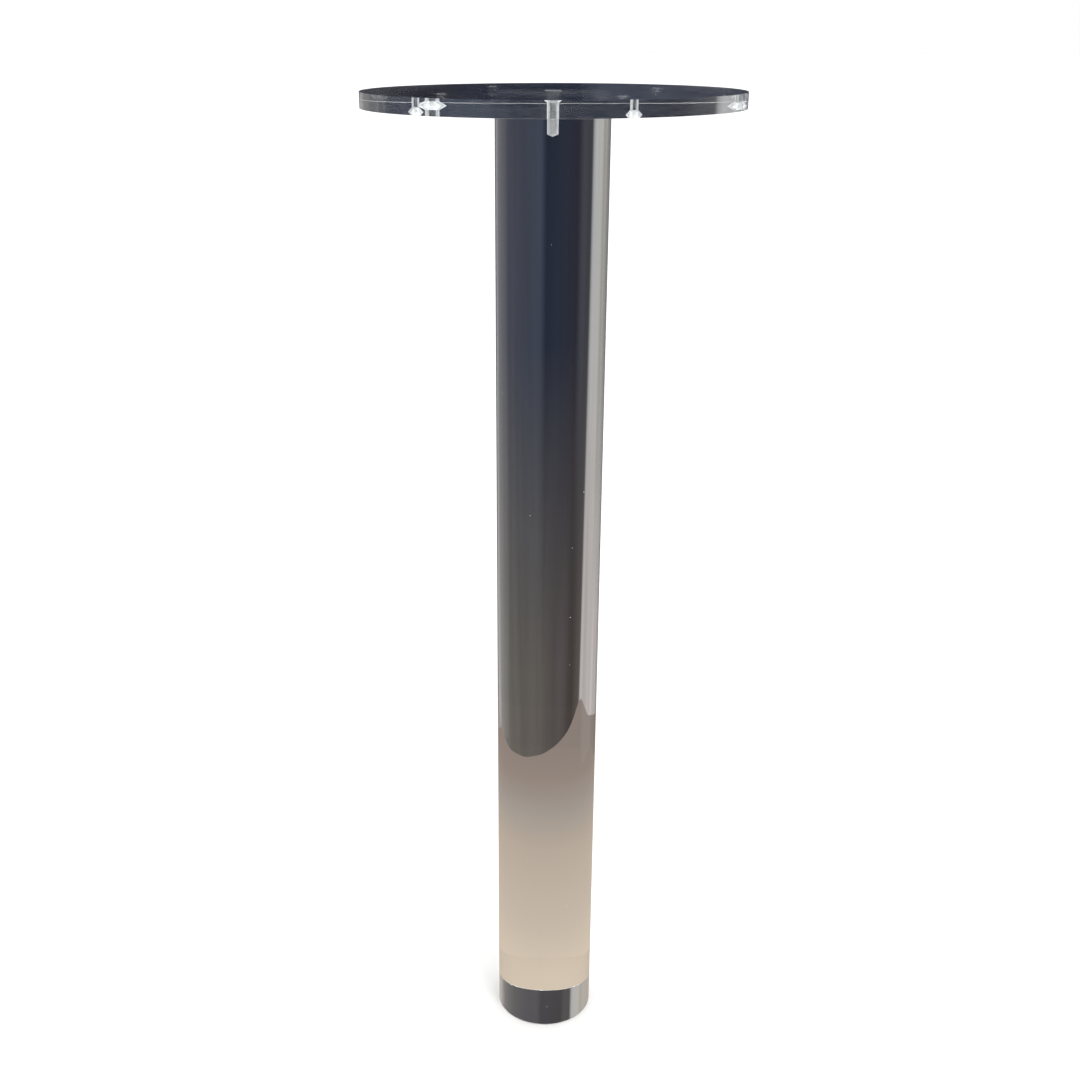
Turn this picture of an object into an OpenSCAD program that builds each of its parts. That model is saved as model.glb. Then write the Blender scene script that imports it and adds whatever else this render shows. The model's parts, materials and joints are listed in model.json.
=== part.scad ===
// Clear acrylic pedestal leg: a solid rod with a round mounting plate on its top end.
// The leg stands on the flat lower end of the rod. The origin is the centre of that
// end, with +Z up, and X and Y run midway between the plate's mounting holes.

/* [Post] */
// Diameter of the rod
post_d = 76; // [50:1:100]
// Length of the rod
post_len = 711; // [300:1:1000]
// Width of the bevel around each end of the rod
post_bevel = 0.5; // [0.2:0.1:2]

/* [Mounting plate] */
// Diameter of the plate
plate_d = 250; // [190:1:320]
// Thickness of the plate
plate_t = 10; // [8:0.5:16]
// Width of the bevel around the plate's top and bottom edges
plate_bevel = 0.1; // [0.05:0.05:1.5]

/* [Mounting holes] */
// Number of holes around the plate
hole_count = 4; // [3:1:8]
// Distance from the plate's rim to the centre of each hole
hole_inset = 44; // [20:0.5:46]
// Direction of the first hole, in degrees from +X
hole_turn = 45; // [0:5:90]
// Diameter of each hole, which clears a 4 mm wood screw
hole_d = 4.4; // [3:0.1:6]
// Wide end of each countersink, on the plate's underside
hole_sink_d = 9; // [7:0.1:12]
// Angle across each countersink, in degrees
hole_sink_angle = 82; // [60:1:120]

/* [Centre screw] */
// Outside diameter of the thread
screw_d = 5; // [4:0.5:6]
// Length of the screw with its head
screw_len = 20; // [16:1:30]
// Diameter of the head
head_d = 10; // [8:0.1:12]
// Height of the straight rim around the head
head_rim = 0.3; // [0.1:0.1:0.6]
// Angle across the head's cone, in degrees
head_angle = 90; // [80:1:100]
// Size of the hex socket across its flats
socket_af = 3; // [2:0.5:4]
// Depth of the hex socket
socket_depth = 2; // [1:0.1:2.5]
// Width of the bevel at the screw's tip
tip_bevel = 0.6; // [0.2:0.1:1]

/* [Fits] */
// Depth of the screw's head below the plate's top face
head_recess = 2.6; // [0.2:0.1:3]
// Gap around the head in its recess, across the diameter
head_gap = 0.8; // [0.2:0.1:1.5]
// Gap around the screw in the plate's hole, across the diameter
shank_gap = 0.3; // [0.1:0.1:0.8]
// Gap around the thread in the rod's tapped hole, across the diameter
thread_gap = 0.04; // [0.02:0.01:0.1]
// Depth of the tapped hole past the screw's tip
tap_room = 3.4; // [1:0.1:6]

/* [Hidden] */
$fn = 128;

over = 0.2;        // how far a cutter runs past a face
drill_point = 118; // degrees across the point of a twist drill

plate_top = post_len + plate_t;
hole_ring_r = plate_d / 2 - hole_inset;

shank_hole_d = screw_d + shank_gap;
tapped_hole_d = screw_d + thread_gap;
recess_d = head_d + head_gap;

head_top = plate_top - head_recess;
screw_tip = head_top - screw_len;
tapped_depth = post_len - screw_tip + tap_room;

// Height of a cone between two diameters, from the angle across it
function sink_h(wide, narrow, angle) = (wide - narrow) / 2 / tan(angle / 2);

// The head's cone lies on the countersink's cone, so both are placed from its wide end
cone_top = head_top - head_rim;
seat_top = cone_top + sink_h(recess_d, head_d, head_angle);

// Round bar or disc with a bevel at both ends
module bevelled_round(d, h, bevel) {
    r = d / 2;
    rotate_extrude()
        polygon([
            [0, 0], [r - bevel, 0], [r, bevel],
            [r, h - bevel], [r - bevel, h], [0, h]
        ]);
}

// Cone that widens upwards from one diameter to another, with a countersink's angle
module sink(wide, narrow, angle) {
    cylinder(h = sink_h(wide, narrow, angle), d1 = narrow, d2 = wide);
}

// Blind hole down from z = 0, with the point that a twist drill leaves
module drilled_hole(d, depth) {
    point_h = d / 2 / tan(drill_point / 2);
    translate([0, 0, -depth])
        cylinder(h = depth + over, d = d);
    translate([0, 0, -depth - point_h])
        cylinder(h = point_h, d1 = 0, d2 = d);
}

// Through hole whose countersink opens on the underside, at z = 0
module mounting_hole() {
    translate([0, 0, -over])
        cylinder(h = plate_t + 2 * over, d = hole_d);
    translate([0, 0, sink_h(hole_sink_d, hole_d, hole_sink_angle)])
        mirror([0, 0, 1])
            sink(hole_sink_d, hole_d, hole_sink_angle);
}

// Clearance hole for the centre screw, with its countersunk recess in the top face
module screw_hole() {
    translate([0, 0, post_len - over])
        cylinder(h = plate_t + 2 * over, d = shank_hole_d);
    translate([0, 0, seat_top - sink_h(recess_d, shank_hole_d, head_angle)])
        sink(recess_d, shank_hole_d, head_angle);
    translate([0, 0, seat_top])
        cylinder(h = plate_top - seat_top + over, d = recess_d);
}

// Solid rod with a tapped blind hole in the middle of its top end
module post() {
    color([0.78, 0.83, 0.87, 0.4])
        difference() {
            bevelled_round(post_d, post_len, post_bevel);
            translate([0, 0, post_len])
                drilled_hole(tapped_hole_d, tapped_depth);
        }
}

// Round plate on the rod's top end, with its ring of mounting holes
module mounting_plate() {
    color([0.70, 0.76, 0.82, 0.4])
        difference() {
            translate([0, 0, post_len])
                bevelled_round(plate_d, plate_t, plate_bevel);
            screw_hole();
            for (i = [0 : hole_count - 1])
                rotate([0, 0, hole_turn + i * 360 / hole_count])
                    translate([hole_ring_r, 0, post_len])
                        mounting_hole();
        }
}

// Countersunk hex socket screw that clamps the plate to the rod
module centre_screw() {
    color([0.66, 0.67, 0.68])
        difference() {
            union() {
                translate([0, 0, cone_top])
                    cylinder(h = head_rim, d = head_d);
                translate([0, 0, cone_top - sink_h(head_d, screw_d, head_angle)])
                    sink(head_d, screw_d, head_angle);
                translate([0, 0, screw_tip + tip_bevel])
                    cylinder(h = cone_top - screw_tip - tip_bevel, d = screw_d);
                translate([0, 0, screw_tip])
                    cylinder(h = tip_bevel, d1 = screw_d - 2 * tip_bevel, d2 = screw_d);
            }
            translate([0, 0, head_top - socket_depth])
                cylinder(h = socket_depth + over, d = socket_af / cos(30), $fn = 6);
        }
}

post();
mounting_plate();
centre_screw();
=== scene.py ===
import json
import math

import bpy
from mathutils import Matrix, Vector


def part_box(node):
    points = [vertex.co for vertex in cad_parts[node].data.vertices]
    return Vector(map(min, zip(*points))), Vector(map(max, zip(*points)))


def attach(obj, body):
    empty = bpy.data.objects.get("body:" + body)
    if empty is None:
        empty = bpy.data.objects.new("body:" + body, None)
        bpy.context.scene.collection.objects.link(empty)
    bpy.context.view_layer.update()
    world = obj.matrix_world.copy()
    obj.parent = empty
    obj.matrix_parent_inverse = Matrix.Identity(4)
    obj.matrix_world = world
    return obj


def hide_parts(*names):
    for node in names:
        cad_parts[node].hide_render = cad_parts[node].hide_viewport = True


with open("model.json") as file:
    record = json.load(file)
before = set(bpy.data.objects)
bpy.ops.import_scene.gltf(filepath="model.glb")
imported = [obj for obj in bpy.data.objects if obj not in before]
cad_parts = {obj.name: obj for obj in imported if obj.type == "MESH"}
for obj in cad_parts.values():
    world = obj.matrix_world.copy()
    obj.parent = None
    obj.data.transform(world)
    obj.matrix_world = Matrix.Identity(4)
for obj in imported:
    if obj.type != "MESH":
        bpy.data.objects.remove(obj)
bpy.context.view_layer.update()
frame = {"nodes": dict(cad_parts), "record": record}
print("frame loaded:", ", ".join(sorted(frame["nodes"])))

mm = 0.001
tiny = 0.001 * mm  # two heights closer than this are taken as one
past = 1 * mm      # how far a cutter runs past a face
scene = bpy.context.scene


def toLinear(hexColour, alpha=1.0):
    channels = [int(hexColour[i:i + 2], 16) / 255 for i in (1, 3, 5)]
    return [c / 12.92 if c <= 0.04045 else ((c + 0.055) / 1.055) ** 2.4 for c in channels] + [alpha]


def addNode(tree, kind, settings=None, links=None):  # a setting goes to a socket, or else to the node
    node = tree.nodes.new("ShaderNode" + kind)
    for name, value in (settings or {}).items():
        if isinstance(name, int) or name in node.inputs:
            node.inputs[name].default_value = value
        else:
            setattr(node, name, value)
    for name, source in (links or {}).items():
        tree.links.new(source, node.inputs[name])
    return node


def newMaterial(name):
    material = bpy.data.materials.new(name)
    material.use_nodes = True
    material.node_tree.nodes.clear()
    return material, material.node_tree


def setStops(ramp, stops):  # stops: (position, hex colour)
    elements = ramp.color_ramp.elements
    while len(elements) > 1:
        elements.remove(elements[-1])
    for i, (position, hexColour) in enumerate(stops):
        element = elements[0] if i == 0 else elements.new(position)
        element.position = position
        element.color = toLinear(hexColour)


def onlyObject(obj):
    bpy.ops.object.select_all(action="DESELECT")
    obj.select_set(True)
    bpy.context.view_layer.objects.active = obj


def selectFaces(obj, wanted):  # in edit mode: selects the faces that wanted(face) is true for
    bpy.ops.mesh.select_mode(type="FACE")
    bpy.ops.mesh.select_all(action="DESELECT")
    bpy.ops.object.mode_set(mode="OBJECT")
    for face in obj.data.polygons:
        face.select = wanted(face)
    bpy.ops.object.mode_set(mode="EDIT")


def selectEdges(obj, wanted):  # in edit mode: selects the edges whose two ends both pass wanted(point)
    bpy.ops.mesh.select_mode(type="EDGE")
    bpy.ops.mesh.select_all(action="DESELECT")
    bpy.ops.object.mode_set(mode="OBJECT")
    points = [wanted(v.co) for v in obj.data.vertices]
    for edge in obj.data.edges:
        edge.select = points[edge.vertices[0]] and points[edge.vertices[1]]
    bpy.ops.object.mode_set(mode="EDIT")


def applyPlace(obj):
    onlyObject(obj)
    bpy.ops.object.transform_apply(location=True, rotation=True, scale=True)


def radiusOf(point):
    return math.hypot(point[0], point[1])


def isWall(face):
    return abs(face.normal.z) < 0.1


def isFlat(face):
    return abs(face.normal.z) > 0.9


def isTop(face):
    return isFlat(face) and face.normal.z > 0


cameraSettings = {
    "azimuth": 13.9,    # degrees round the leg, 0 looks along +Y
    "distance": 0.948,  # metres from the leg's axis, level
    "height": 0.7602,   # metres
    "pitch": 23.17,     # degrees down
    "yaw": 1.49,        # degrees to the left of the axis
    "lens": 45.77,
    "shiftX": 0.0231,
    "shiftY": 0.0667,
    "clipStart": 0.02,
    "clipEnd": 60,
}


def makeCamera(s):
    data = bpy.data.cameras.new("camera")
    data.lens = s["lens"]
    data.shift_x = s["shiftX"]
    data.shift_y = s["shiftY"]
    data.clip_start = s["clipStart"]
    data.clip_end = s["clipEnd"]
    camera = bpy.data.objects.new("camera", data)
    scene.collection.objects.link(camera)
    turn = math.radians(s["azimuth"])
    camera.location = (s["distance"] * math.sin(turn), -s["distance"] * math.cos(turn), s["height"])
    camera.rotation_euler = (math.radians(90 - s["pitch"]), 0, math.radians(s["azimuth"] + s["yaw"]))
    scene.camera = camera


makeCamera(cameraSettings)
print("camera made")


postLow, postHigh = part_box("post")
plateLow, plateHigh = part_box("mounting_plate")
screwLow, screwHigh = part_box("centre_screw")
boltHoles = next(m for m in frame["record"]["mounts"] if m["name"] == "plate_holes")["dims"]

postR = (postHigh[0] - postLow[0]) / 2
postTop = postHigh[2]
plateR = (plateHigh[0] - plateLow[0]) / 2
plateUnder = plateLow[2]
plateTop = plateHigh[2]
headR = (screwHigh[0] - screwLow[0]) / 2
headTop = screwHigh[2]
screwTip = screwLow[2]


acrylicLook = {
    "ior": 1.491,
    "tint": "#f7fafb",        # a trace of cool grey, as thick cast sheet has
    "hazeTint": "#eef2f4",
    "polish": 0.012,          # roughness of a buffed surface
    "hairlines": 0.05,        # roughness in the buffing marks
    "lineLength": 6,          # mm, of a buffing mark
    "lineAspect": 14,         # length over width, which is drawn wider than it is, so that it shows
    "lineSpan": (0.55, 0.8),  # part of the noise that shows as marks
    "waveWidth": 45,          # mm, slow waves left by turning and buffing
    "waveHeight": 0.05,       # mm
    "speckGap": 14,           # mm from one grain of dust to the next
    "speckSize": 0.3,         # mm
    "speckRough": 0.3,
    "speckClear": 0.6,        # share of the light that passes a grain of dust
    "clamped": 0.08,          # roughness where the plate is clamped on the rod
    "clampedDepth": 0.1,      # mm above the plate's underside in which it has that roughness
    "haze": 0.03,             # share of the light that buffing marks scatter, on the sheet
    "hazeSpan": (0.35, 0.75),
}


def addPrincipled(tree, settings, links):
    shader = addNode(tree, "BsdfPrincipled", settings, links)
    addNode(tree, "OutputMaterial", links={"Surface": shader.outputs[0]})


# Cast acrylic, turned and buffed: glass-clear and sharp, with a few hairlines, a slow wave and grains of
# dust. Within patchR and up to patchTop it is duller, where it is clamped on the rod.
def makePolishedAcrylic(name, s, seed, haze=0.0, patchR=0.0, patchTop=0.0):
    material, tree = newMaterial(name)
    place = addNode(tree, "TexCoord").outputs["Object"]
    wave = addNode(tree, "TexNoise", {"Scale": 1 / (s["waveWidth"] * mm), "Detail": 1.0,
                                      "noise_dimensions": "4D", "W": seed}, {"Vector": place})
    buffed = addNode(tree, "Mapping", {"Scale": (1, 1, s["lineAspect"])}, {"Vector": place})
    lines = addNode(tree, "TexNoise", {"Scale": 1 / (s["lineLength"] * mm), "Detail": 3.0},
                    {"Vector": buffed.outputs[0]})
    polish = addNode(tree, "MapRange", {"From Min": s["lineSpan"][0], "From Max": s["lineSpan"][1],
                                        "To Min": s["polish"], "To Max": s["hairlines"]},
                     {"Value": lines.outputs["Fac"]})
    dust = addNode(tree, "TexVoronoi", {"Scale": 1 / (s["speckGap"] * mm)}, {"Vector": place})
    speck = addNode(tree, "Math", {"operation": "LESS_THAN", 1: s["speckSize"] / s["speckGap"]},
                    {0: dust.outputs["Distance"]})
    axes = addNode(tree, "SeparateXYZ", links={0: place})
    level = addNode(tree, "CombineXYZ", links={"X": axes.outputs["X"], "Y": axes.outputs["Y"]})
    reach = addNode(tree, "VectorMath", {"operation": "LENGTH"}, {0: level.outputs[0]})
    near = addNode(tree, "Math", {"operation": "LESS_THAN", 1: patchR}, {0: reach.outputs["Value"]})
    under = addNode(tree, "Math", {"operation": "LESS_THAN", 1: patchTop}, {0: axes.outputs["Z"]})
    patch = addNode(tree, "Math", {"operation": "MULTIPLY"}, {0: near.outputs[0], 1: under.outputs[0]})
    rubbed = addNode(tree, "MapRange", {"To Max": s["clamped"]},
                     {"Value": patch.outputs[0], "To Min": polish.outputs[0]})
    rough = addNode(tree, "MapRange", {"To Max": s["speckRough"]},
                    {"Value": speck.outputs[0], "To Min": rubbed.outputs[0]})
    milky = addNode(tree, "MapRange", {"From Min": s["hazeSpan"][0], "From Max": s["hazeSpan"][1],
                                       "To Min": 1.0, "To Max": 1 - haze},
                    {"Value": lines.outputs["Fac"]})
    clear = addNode(tree, "MapRange", {"To Max": s["speckClear"]},
                    {"Value": speck.outputs[0], "To Min": milky.outputs[0]})
    bump = addNode(tree, "Bump", {"Strength": 1.0, "Distance": s["waveHeight"] * mm},
                   {"Height": wave.outputs["Fac"]})
    tint = addNode(tree, "MixRGB", {"Color1": toLinear(s["tint"]), "Color2": toLinear(s["hazeTint"])},
                   {"Fac": wave.outputs["Fac"]})
    addPrincipled(tree, {"IOR": s["ior"]}, {"Base Color": tint.outputs[0], "Roughness": rough.outputs[0],
                                            "Transmission Weight": clear.outputs[0],
                                            "Normal": bump.outputs[0]})
    return material


cutSurface = {
    "shade": "#eceff1",       # what the colour drifts towards
    "grain": 0.8,             # mm, coarser than it is, so that it shows
    "unevenness": 0.4,        # share by which the roughness varies
}

# Drilled bore: nearly clear with faint rings, and a painted glow on the sides turned from the eye, so it
# shows as a pale tube with brighter sides
boreLook = cutSurface | {
    "colour": "#f4f6f7",
    "roughness": 0.14,
    "clear": 0.96,
    "toolPitch": 0.25,        # mm between the rings that the drill leaves
    "toolHeight": 0.004,      # mm
    "glow": (0, 0.42),        # painted glow, facing the eye and turned from it
    "paintedGlowSpan": (0.17, 0.38),
}

# Countersink: satin from the cutter, so it catches the light, and a painted glow, so it shows as a bright
# cone
sinkLook = cutSurface | {
    "colour": "#f8fafb",
    "roughness": 0.38,
    "clear": 0.86,
    "toolPitch": 0.3,
    "toolHeight": 0.004,
    # painted glow, facing the eye and turned from it
    "glow": (0, 0.45),
    "paintedGlowSpan": (0.34, 0.65),
}

# Tapped thread: white, crushed flanks, and a painted glow all round, strongest turned from the eye, so it
# shows as a milky column
threadLook = cutSurface | {
    "colour": "#fbfcfc",
    "roughness": 0.5,
    "clear": 0.04,
    "toolPitch": 0.8,         # the thread's own pitch
    "toolHeight": 0.05,
    # painted glow, facing the eye and turned from it
    "glow": (0.22, 0.42),
    "paintedGlowSpan": (0.1, 0.4),
}

# The rod's turned end, under the plate: half frosted, so the joint shows as a pale disc
endLook = cutSurface | {
    "colour": "#eef2f6",
    "roughness": 0.3,
    "clear": 0.5,
    "toolPitch": 0.4,
    "toolHeight": 0.002,
    "glow": (0, 0),
    "paintedGlowSpan": (0, 1),
}


# Acrylic as the cutter leaves it: frosted, with tool rings, and a painted glow that is stronger where it
# turns
# from the eye: an emission in its own colour that paints the reflection of the bright room a bore in clear
# acrylic shows there
def makeCutAcrylic(name, s, ior):
    material, tree = newMaterial(name)
    place = addNode(tree, "TexCoord").outputs["Object"]
    height = addNode(tree, "SeparateXYZ", links={0: place}).outputs["Z"]
    turns = addNode(tree, "Math", {"operation": "MULTIPLY", 1: 2 * math.pi / (s["toolPitch"] * mm)},
                    {0: height})
    rings = addNode(tree, "Math", {"operation": "SINE"}, {0: turns.outputs[0]})
    grain = addNode(tree, "TexNoise", {"Scale": 1 / (s["grain"] * mm), "Detail": 2.0}, {"Vector": place})
    rough = addNode(tree, "MapRange", {"To Min": s["roughness"] * (1 - s["unevenness"]),
                                       "To Max": s["roughness"] * (1 + s["unevenness"])},
                    {"Value": grain.outputs["Fac"]})
    bump = addNode(tree, "Bump", {"Distance": s["toolHeight"] * mm}, {"Height": rings.outputs[0]})
    colour = addNode(tree, "MixRGB", {"Color1": toLinear(s["colour"]), "Color2": toLinear(s["shade"])},
                     {"Fac": grain.outputs["Fac"]})
    # Painted highlight: emission strength runs from glow[0] where the cut faces the eye to glow[1] where it
    # turns from it
    facing = addNode(tree, "LayerWeight", {"Blend": 0.5}).outputs["Facing"]
    glow = addNode(tree, "MapRange", {"From Min": s["paintedGlowSpan"][0], "From Max": s["paintedGlowSpan"][1],
                                      "To Min": s["glow"][0], "To Max": s["glow"][1]}, {"Value": facing})
    addPrincipled(tree, {"IOR": ior, "Transmission Weight": s["clear"],
                         "Emission Color": toLinear(s["colour"])},
                  {"Base Color": colour.outputs[0], "Roughness": rough.outputs[0],
                   "Normal": bump.outputs[0], "Emission Strength": glow.outputs[0]})
    return material


steelLook = {
    "colour": "#d2d1ce",
    "shade": "#b4b3b0",
    "grain": 0.5,                 # mm, coarser than it is, so that it shows
    "roughness": (0.294, 0.63),   # least and most
}


def makeScrewSteel(name, s):  # stainless steel, cold headed and rolled: a dull grey metal with a fine grain
    material, tree = newMaterial(name)
    place = addNode(tree, "TexCoord").outputs["Object"]
    grain = addNode(tree, "TexNoise", {"Scale": 1 / (s["grain"] * mm), "Detail": 3.0}, {"Vector": place})
    colour = addNode(tree, "MixRGB", {"Color1": toLinear(s["colour"]), "Color2": toLinear(s["shade"])},
                     {"Fac": grain.outputs["Fac"]})
    rough = addNode(tree, "MapRange", {"To Min": s["roughness"][0], "To Max": s["roughness"][1]},
                    {"Value": grain.outputs["Fac"]})
    addPrincipled(tree, {"Metallic": 1.0},
                  {"Base Color": colour.outputs[0], "Roughness": rough.outputs[0]})
    return material


rodAcrylic = makePolishedAcrylic("polished_cast_acrylic_rod", acrylicLook, 3.1)
sheetAcrylic = makePolishedAcrylic("polished_cast_acrylic_sheet", acrylicLook, 7.4, acrylicLook["haze"],
                                   postR, plateUnder + acrylicLook["clampedDepth"] * mm)
boreAcrylic = makeCutAcrylic("drilled_acrylic_painted_glow", boreLook, acrylicLook["ior"])
threadAcrylic = makeCutAcrylic("tapped_acrylic_painted_glow", threadLook, acrylicLook["ior"])
endAcrylic = makeCutAcrylic("turned_acrylic_end", endLook, acrylicLook["ior"])
sinkAcrylic = makeCutAcrylic("countersunk_acrylic_painted_glow", sinkLook, acrylicLook["ior"])
screwSteel = makeScrewSteel("stainless_steel", steelLook)
print("materials made")


post = {
    "segments": 384,
    "bevel": 0.5 * mm,
    "seatGap": 0.05 * mm,     # air between the rod's end and the plate
    "holeR": 2.52 * mm,
    "tapRoom": 3.4 * mm,      # depth of the tapped hole past the screw's tip
    "drillPoint": 118,        # degrees across
}


def makeRound(name, segments, radius, low, high, bevels):  # bevels: round the lower and the upper end
    bpy.ops.object.select_all(action="DESELECT")
    bpy.ops.mesh.primitive_cylinder_add(vertices=segments, radius=radius, depth=high - low,
                                        location=(0, 0, (low + high) / 2))
    obj = bpy.context.active_object
    obj.name = obj.data.name = name
    applyPlace(obj)
    bpy.ops.object.mode_set(mode="EDIT")
    for z, bevel in zip((low, high), bevels):
        selectEdges(obj, lambda p: abs(p[2] - z) < tiny)
        bpy.ops.mesh.bevel(offset=bevel, segments=1, affect="EDGES")
    bpy.ops.object.mode_set(mode="OBJECT")
    return obj


def insetTop(obj, fromR, toR):  # in edit mode: leaves the face inside toR selected on the flat top end
    selectFaces(obj, isTop)
    bpy.ops.mesh.inset(thickness=fromR - toR)


def pushIn(depth):  # in edit mode: extrudes the selected end face downwards
    bpy.ops.mesh.extrude_region_move(TRANSFORM_OT_translate={"value": (0, 0, -depth)})


def smoothRound(obj):
    onlyObject(obj)
    bpy.ops.object.shade_smooth_by_angle(angle=math.radians(30))


def assignSlot(obj, material, wanted):  # gives the faces that wanted(face) is true for their own material
    obj.data.materials.append(material)
    index = len(obj.data.materials) - 1
    for face in obj.data.polygons:
        if wanted(face):
            face.material_index = index


def makePost(s):
    obj = makeRound("clear_rod", s["segments"], postR, postLow[2], postTop - s["seatGap"],
                    (s["bevel"], s["bevel"]))
    obj.data.materials.append(rodAcrylic)
    bpy.ops.object.mode_set(mode="EDIT")
    insetTop(obj, postR - s["bevel"], s["holeR"])
    pushIn(postTop - screwTip + s["tapRoom"] - s["seatGap"])
    pushIn(s["holeR"] / math.tan(math.radians(s["drillPoint"] / 2)))
    bpy.ops.mesh.merge(type="CENTER")
    bpy.ops.object.mode_set(mode="OBJECT")
    assignSlot(obj, endAcrylic, isTop)
    assignSlot(obj, threadAcrylic, lambda f: radiusOf(f.center) < s["holeR"] and not isFlat(f))
    smoothRound(obj)
    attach(obj, "root")
    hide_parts("post")


makePost(post)
print("post made")


plate = {
    "segments": 512,
    "lowBevel": 0.09 * mm,      # scraped, and given the countersink's painted glow, so that it shows as a light line
    "highBevel": 0.02 * mm,     # polished
    "recessR": headR + 0.4 * mm,
    "recessDepth": 2.5 * mm,    # of the straight part round the screw's head
    "shankHoleR": 2.65 * mm,
    "centreSegments": 96,
    "holeSinkR": 4.5 * mm,
    "holeSinkAngle": 82,        # degrees across
    "holeTurn": 45,             # degrees of the first hole from +X
    "holeSegments": 64,
    "rimWidth": 2 * mm,         # the holes lie further in than this
}


def makeTurned(name, segments, profile):  # profile: (radius, height) of each corner, from the lowest up
    radius, height = profile[0]
    bpy.ops.object.select_all(action="DESELECT")
    bpy.ops.mesh.primitive_circle_add(vertices=segments, radius=radius, fill_type="NGON",
                                      location=(0, 0, height))
    obj = bpy.context.active_object
    obj.name = obj.data.name = name
    applyPlace(obj)
    bpy.ops.object.mode_set(mode="EDIT")
    bpy.ops.mesh.select_all(action="SELECT")
    for newRadius, newHeight in profile[1:]:
        bpy.ops.mesh.extrude_region_move(TRANSFORM_OT_translate={"value": (0, 0, newHeight - height)})
        if newRadius != radius:
            scale = newRadius / radius
            bpy.ops.transform.resize(value=(scale, scale, 1))
        radius, height = newRadius, newHeight
    bpy.ops.mesh.select_all(action="SELECT")
    bpy.ops.mesh.normals_make_consistent(inside=False)
    bpy.ops.object.mode_set(mode="OBJECT")
    return obj


def cutAway(obj, cutter):
    onlyObject(obj)
    cut = obj.modifiers.new("cut", "BOOLEAN")
    cut.operation = "DIFFERENCE"
    cut.solver = "EXACT"
    cut.object = cutter
    bpy.ops.object.modifier_apply(modifier=cut.name)
    bpy.data.objects.remove(cutter, do_unlink=True)


def cutCentreHole(obj, s):  # countersunk recess in the top face, and the clearance hole under it
    seat = plateTop - s["recessDepth"]
    cutAway(obj, makeTurned("centre_cutter", s["centreSegments"], [
        (s["shankHoleR"], plateUnder - past),
        (s["shankHoleR"], seat - (s["recessR"] - s["shankHoleR"])),
        (s["recessR"], seat),
        (s["recessR"], plateTop + past),
    ]))


def cutMountingHoles(obj, s):  # countersunk from below
    holeR = boltHoles["hole_r_mm"] * mm
    ringR = boltHoles["pcd_mm"] / 2 * mm
    slope = math.tan(math.radians(s["holeSinkAngle"] / 2))
    sinkH = (s["holeSinkR"] - holeR) / slope
    for i in range(boltHoles["count"]):
        angle = math.radians(s["holeTurn"] + 360 / boltHoles["count"] * i)
        cutter = makeTurned("hole_cutter", s["holeSegments"], [
            (s["holeSinkR"] + past * slope, plateUnder - past),
            (holeR, plateUnder + sinkH),
            (holeR, plateTop + past),
        ])
        cutter.location = (ringR * math.cos(angle), ringR * math.sin(angle), 0)
        applyPlace(cutter)
        cutAway(obj, cutter)


def makePlate(s):
    obj = makeRound("clear_plate", s["segments"], plateR, plateUnder, plateTop,
                    (s["lowBevel"], s["highBevel"]))
    obj.data.materials.append(sheetAcrylic)
    cutCentreHole(obj, s)
    cutMountingHoles(obj, s)
    innerR = plateR - s["rimWidth"]

    def isDrilled(face):
        return isWall(face) and radiusOf(face.center) < innerR

    def isScraped(face):  # countersinks, the recess's wall and the lower bevel
        if radiusOf(face.center) > innerR:
            return face.normal.z < 0 and not isWall(face) and not isFlat(face)
        inRecess = s["shankHoleR"] < radiusOf(face.center) < s["recessR"]
        return not isFlat(face) and (inRecess or not isWall(face))

    assignSlot(obj, boreAcrylic, isDrilled)
    assignSlot(obj, sinkAcrylic, isScraped)
    smoothRound(obj)
    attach(obj, "root")
    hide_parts("mounting_plate")


makePlate(plate)
print("mounting plate made")


screw = {
    "segments": 64,
    "fit": 0.03 * mm,                   # the screw is drawn this much smaller, so that it touches nothing
    "headRim": 0.3 * mm,
    "headEdge": (0.1 * mm, 0.06 * mm),  # width and height of the broken edge round the head
    "threadR": 2.5 * mm,
    "threadDepth": 0.45 * mm,
    "pitch": 0.8 * mm,
    "ringStep": 0.1 * mm,               # from one ring of points along the thread to the next
    "plainLength": 1.0 * mm,            # unthreaded length under the head
    "tipBevel": 0.6 * mm,
    "socketFlats": 3 * mm,
    "socketDepth": 2 * mm,
}


def cutThread(obj, s, shankR, low, high):  # a V groove round the shank that runs out at both ends
    for v in obj.data.vertices:
        if low < v.co.z < high:
            turn = (v.co.z / s["pitch"] - math.atan2(v.co.y, v.co.x) / (2 * math.pi)) % 1
            fade = min(1, (high - v.co.z) / s["pitch"], (v.co.z - low) / s["pitch"])
            cut = s["threadDepth"] * (1 - abs(2 * turn - 1)) * fade
            scale = 1 - cut / shankR
            v.co.x *= scale
            v.co.y *= scale


def makeScrew(s):
    shankR = s["threadR"] - s["fit"]
    rimR = headR - s["fit"]
    edgeW, edgeH = s["headEdge"]
    coneTop = headTop - s["headRim"]
    coneLow = coneTop - (headR - s["threadR"])
    tipTop = screwTip + s["tipBevel"]
    threadTop = coneLow - s["plainLength"]
    rings = int((threadTop - tipTop) / s["ringStep"])
    profile = [(shankR - s["tipBevel"], screwTip)]
    profile += [(shankR, tipTop + i * s["ringStep"]) for i in range(rings + 1)]
    profile += [(shankR, coneLow - s["fit"]), (rimR, coneTop - s["fit"])]
    profile += [(rimR, headTop - edgeH), (rimR - edgeW, headTop)]
    obj = makeTurned("hex_socket_screw", s["segments"], profile)
    cutThread(obj, s, shankR, screwTip + s["tipBevel"] / 2, threadTop)
    cornerR = s["socketFlats"] / 2 / math.cos(math.radians(30))
    cutAway(obj, makeTurned("socket_cutter", 6, [
        (cornerR, headTop - s["socketDepth"]),
        (cornerR, headTop + past),
    ]))
    obj.data.materials.clear()
    obj.data.materials.append(screwSteel)
    smoothRound(obj)
    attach(obj, "root")
    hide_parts("centre_screw")


makeScrew(screw)
print("centre screw made")


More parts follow.
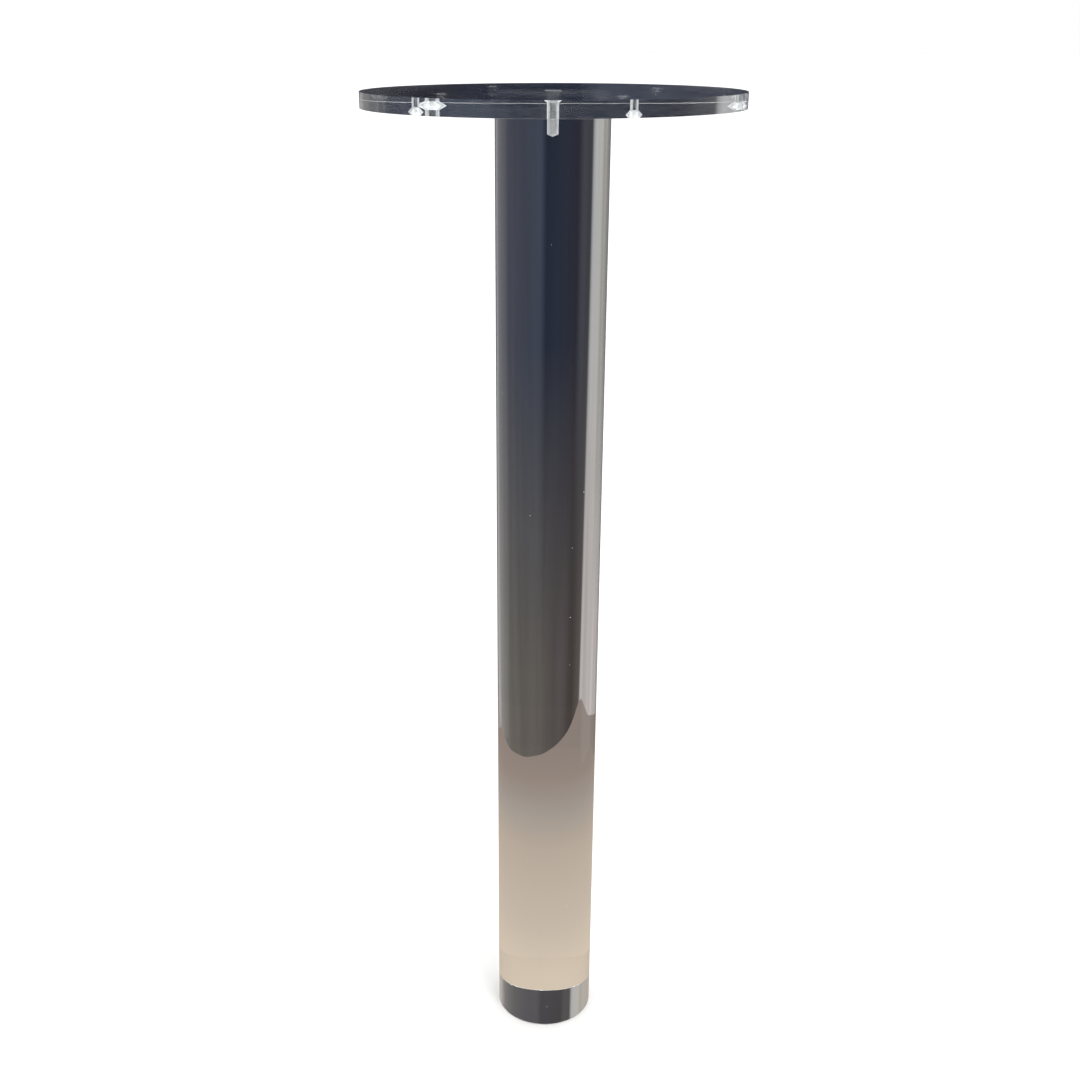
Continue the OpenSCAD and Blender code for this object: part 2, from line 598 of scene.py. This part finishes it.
stage = {
    "floorR": 40,
    "floorZ": -0.6 * mm,
    "floorColour": "#c8c8c7",  # bright under this light
    "floorRough": 0.8,
    "matR": 0.75,
    "matZ": -0.4 * mm,
    "cardTop": 0.95,
    "cardBlend": 3,            # degrees to each side over which the cards' distances are evened out
    "warmBelow": 0.1,          # metres up to which the cards have their lower colours
    "coolAbove": 0.46,         # metres from which they have their upper colours
    "foldsAcross": 16,         # folds of the cloth to the metre
    "foldsUp": 2,
    "foldSpan": (0.3, 0.7),    # part of the noise that shows as folds
    "foldDepth": 0.14,         # how far the folds change the cloth's brightness
    "white": 1.0,              # what the camera sees past the floor
    "dome": 2.0,               # what lights the floor and the bores
    "lampTurn": -150,          # degrees to the left of straight behind the leg
    "lampRise": 40,            # degrees up
    "lampDistance": 1.7,
    "lampSize": 0.7,
    "lampPower": 20,
}

# What stands round the leg: degrees to the left of straight behind it, distance, colour above and below
cards = [
    (-180, 0.52, "#70757f", "#7a7470"),
    (-120, 0.50, "#565b66", "#625d5a"),
    (-100, 0.49, "#494e59", "#5a5552"),
    (-92, 0.45, "#a6a7ad", "#c9c5c2"),
    (-66, 0.47, "#96969b", "#afadad"),
    (-56, 0.485, "#5f6067", "#7a7776"),
    (-48, 0.464, "#575860", "#726f6c"),
    (-36, 0.441, "#4a4a54", "#67645d"),
    (-17, 0.436, "#3c404c", "#605a55"),
    (-6, 0.446, "#3c414f", "#615c57"),
    (-3, 0.449, "#181f30", "#57514d"),
    (8, 0.471, "#232735", "#544d4c"),
    (16, 0.495, "#25232d", "#4a4441"),
    (20, 0.512, "#424249", "#433b37"),
    (28, 0.566, "#3e3c40", "#5b5350"),
    (30, 0.585, "#9b9b97", "#cdc5bf"),
    (33, 0.57, "#bebabb", "#baafaa"),
    (44, 0.52, "#b4b0a7", "#c4bab6"),
    (76, 0.50, "#a8a39a", "#ded5d2"),
    (84, 0.51, "#524b50", "#948b8b"),
    (120, 0.50, "#565b66", "#625d5a"),
    (180, 0.52, "#70757f", "#7a7470"),
]

# Share of the mat's radius, colour
matBands = [
    (0, "#e4d1bb"),
    (0.08, "#e0cdb7"),
    (0.16, "#cfbfae"),
    (0.34, "#c0af9f"),
    (0.43, "#a99e95"),
    (0.52, "#9a8a80"),
    (0.62, "#93857c"),
    (1, "#93857c"),
]


def makeFloor(s):  # matt and pale; the acrylic doesn't see it, because the warm mat stands in for it there
    bpy.ops.object.select_all(action="DESELECT")
    bpy.ops.mesh.primitive_circle_add(vertices=96, radius=s["floorR"], fill_type="NGON",
                                      location=(0, 0, s["floorZ"]))
    floor = bpy.context.active_object
    floor.name = "floor"
    material, tree = newMaterial("pale_floor")
    addPrincipled(tree, {"Base Color": toLinear(s["floorColour"]), "Roughness": s["floorRough"]}, {})
    floor.data.materials.append(material)
    floor.visible_transmission = False
    floor.visible_glossy = False


def addGlow(tree, colour):
    glow = addNode(tree, "Emission", {"Strength": 1.0}, {"Color": colour})
    addNode(tree, "OutputMaterial", links={"Surface": glow.outputs[0]})


def hideFromDirectSight(obj):  # the acrylic sees it, while the camera, the floor and the shadows don't
    obj.visible_camera = False
    obj.visible_diffuse = False
    obj.visible_shadow = False


def cardDistance(degrees):
    degrees = (degrees + 180) % 360 - 180
    for (a, near, *_), (b, far, *_) in zip(cards, cards[1:]):
        if a <= degrees <= b:
            return near + (far - near) * (degrees - a) / (b - a)


def makeCards(s, azimuth):  # hanging cloth that glows evenly, with soft folds
    bpy.ops.object.select_all(action="DESELECT")
    half = (s["cardTop"] - s["matZ"]) / 2
    bpy.ops.mesh.primitive_cylinder_add(vertices=180, radius=1, depth=2 * half, end_fill_type="NOTHING",
                                        location=(0, 0, s["matZ"] + half))
    wall = bpy.context.active_object
    wall.name = "studio_cards"
    steps = range(-s["cardBlend"], s["cardBlend"] + 1)
    for v in wall.data.vertices:
        degrees = math.degrees(math.atan2(-v.co.x, v.co.y))
        distance = sum(cardDistance(degrees + step) for step in steps) / len(steps)
        v.co.x *= distance
        v.co.y *= distance
    wall.rotation_euler.z = math.radians(azimuth)
    material, tree = newMaterial("studio_cards")
    place = addNode(tree, "TexCoord").outputs["Object"]
    axes = addNode(tree, "SeparateXYZ", links={0: place})
    left = addNode(tree, "Math", {"operation": "MULTIPLY", 1: -1.0}, {0: axes.outputs["X"]})
    angle = addNode(tree, "Math", {"operation": "ARCTAN2"}, {0: left.outputs[0], 1: axes.outputs["Y"]})
    turn = addNode(tree, "MapRange", {"From Min": -math.pi, "From Max": math.pi},
                   {"Value": angle.outputs[0]})
    rise = addNode(tree, "MapRange", {"From Min": s["warmBelow"] - half, "From Max": s["coolAbove"] - half},
                   {"Value": axes.outputs["Z"]})
    upper = addNode(tree, "ValToRGB", links={"Fac": turn.outputs[0]})
    lower = addNode(tree, "ValToRGB", links={"Fac": turn.outputs[0]})
    setStops(upper, [((degrees + 180) / 360, above) for degrees, distance, above, below in cards])
    setStops(lower, [((degrees + 180) / 360, below) for degrees, distance, above, below in cards])
    mixed = addNode(tree, "MixRGB", links={"Fac": rise.outputs[0], "Color1": lower.outputs[0],
                                           "Color2": upper.outputs[0]})
    hang = addNode(tree, "Mapping", {"Scale": (s["foldsAcross"], s["foldsAcross"], s["foldsUp"])},
                   {"Vector": place})
    folds = addNode(tree, "TexNoise", {"Scale": 1.0, "Detail": 3.0}, {"Vector": hang.outputs[0]})
    shade = addNode(tree, "MapRange", {"From Min": s["foldSpan"][0], "From Max": s["foldSpan"][1],
                                       "To Min": 1 - s["foldDepth"], "To Max": 1 + s["foldDepth"]},
                    {"Value": folds.outputs["Fac"]})
    cloth = addNode(tree, "VectorMath", {"operation": "SCALE"},
                    {0: mixed.outputs[0], "Scale": shade.outputs[0]})
    addGlow(tree, cloth.outputs[0])
    wall.data.materials.append(material)
    hideFromDirectSight(wall)


def makeWarmMat(s):  # the floor as the acrylic sees it: a glowing disc on which the lit floor is painted, warm and lighter near the leg
    bpy.ops.object.select_all(action="DESELECT")
    bpy.ops.mesh.primitive_circle_add(vertices=128, radius=s["matR"], fill_type="NGON",
                                      location=(0, 0, s["matZ"]))
    mat = bpy.context.active_object
    mat.name = "warm_mat"
    material, tree = newMaterial("warm_mat")
    place = addNode(tree, "TexCoord").outputs["Object"]
    distance = addNode(tree, "VectorMath", {"operation": "LENGTH"}, {0: place})
    band = addNode(tree, "MapRange", {"From Max": s["matR"]}, {"Value": distance.outputs["Value"]})
    colour = addNode(tree, "ValToRGB", links={"Fac": band.outputs[0]})
    setStops(colour, matBands)
    addGlow(tree, colour.outputs[0])
    mat.data.materials.append(material)
    hideFromDirectSight(mat)


def makeLamp(s, azimuth):  # a soft box in front of the leg, high and to one side
    turn = math.radians(azimuth + s["lampTurn"])
    rise = math.radians(s["lampRise"])
    level = s["lampDistance"] * math.cos(rise)
    aim = Vector((0, 0, plateTop))
    reach = Vector((-level * math.sin(turn), level * math.cos(turn), s["lampDistance"] * math.sin(rise)))
    bpy.ops.object.select_all(action="DESELECT")
    bpy.ops.object.light_add(type="AREA", location=aim + reach)
    lamp = bpy.context.active_object
    lamp.name = "soft_box"
    lamp.rotation_euler = (-reach).to_track_quat("-Z", "Y").to_euler()
    lamp.data.shape = "DISK"
    lamp.data.size = s["lampSize"]
    lamp.data.energy = s["lampPower"]
    lamp.visible_camera = False


def makeWorld(s):
    world = bpy.data.worlds.new("surround")
    scene.world = world
    world.use_nodes = True
    tree = world.node_tree
    tree.nodes.clear()
    sight = addNode(tree, "LightPath").outputs["Is Camera Ray"]
    dome = addNode(tree, "Background", {"Color": toLinear("#ffffff"), "Strength": s["dome"]})
    seen = addNode(tree, "Background", {"Color": toLinear("#ffffff"), "Strength": s["white"]})
    both = addNode(tree, "MixShader", links={0: sight, 1: dome.outputs[0], 2: seen.outputs[0]})
    addNode(tree, "OutputWorld", links={"Surface": both.outputs[0]})


makeFloor(stage)
makeCards(stage, cameraSettings["azimuth"])
makeWarmMat(stage)
makeLamp(stage, cameraSettings["azimuth"])
makeWorld(stage)
scene.view_settings.view_transform = "Standard"
scene.cycles.max_bounces = 32  # light is mirrored many times inside clear acrylic
scene.cycles.transmission_bounces = 32
scene.cycles.glossy_bounces = 16
print("stage made")
